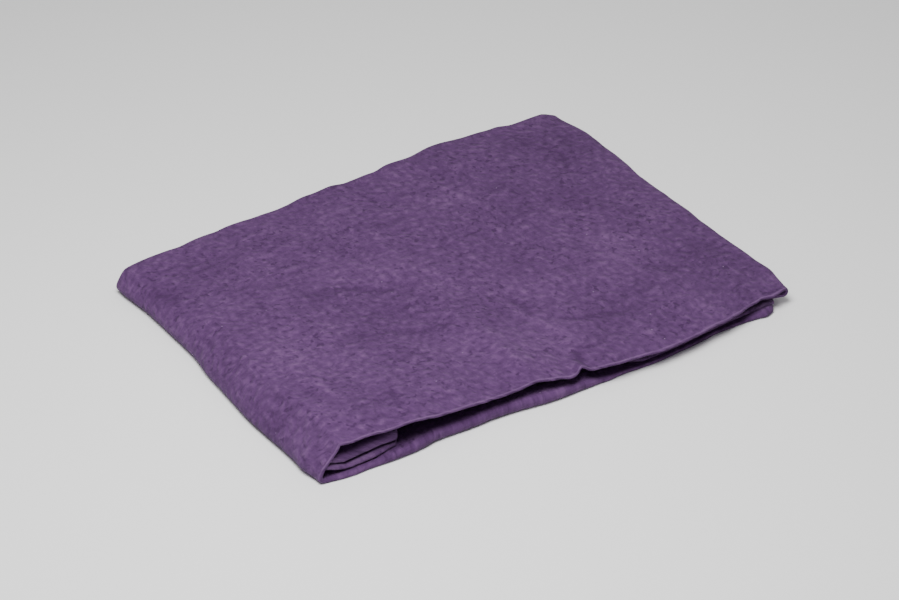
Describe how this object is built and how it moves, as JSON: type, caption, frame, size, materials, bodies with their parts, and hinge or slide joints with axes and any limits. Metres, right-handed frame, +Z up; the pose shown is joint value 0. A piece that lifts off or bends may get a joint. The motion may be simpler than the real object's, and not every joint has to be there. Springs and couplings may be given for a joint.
{
  "type": "folded tablecloth",
  "caption": "Washed linen tablecloth folded flat into a soft oblong pile, with a rounded fold on one side and an open front corner.",
  "frame": {"origin": "middle of the footprint, on the surface that the folded cloth lies on", "axes": "+X along the long side, from the big rounded fold towards the small fold and free ends; +Y towards the back; +Z up, through the pile"},
  "size_m": [0.3806, 0.2974, 0.0249],
  "materials": {
    "linen": "plain-woven linen, washed soft, matt, muted purple"
  },
  "bodies": {
    "root": {"tablecloth": "linen"}
  },
  "joints": []
}
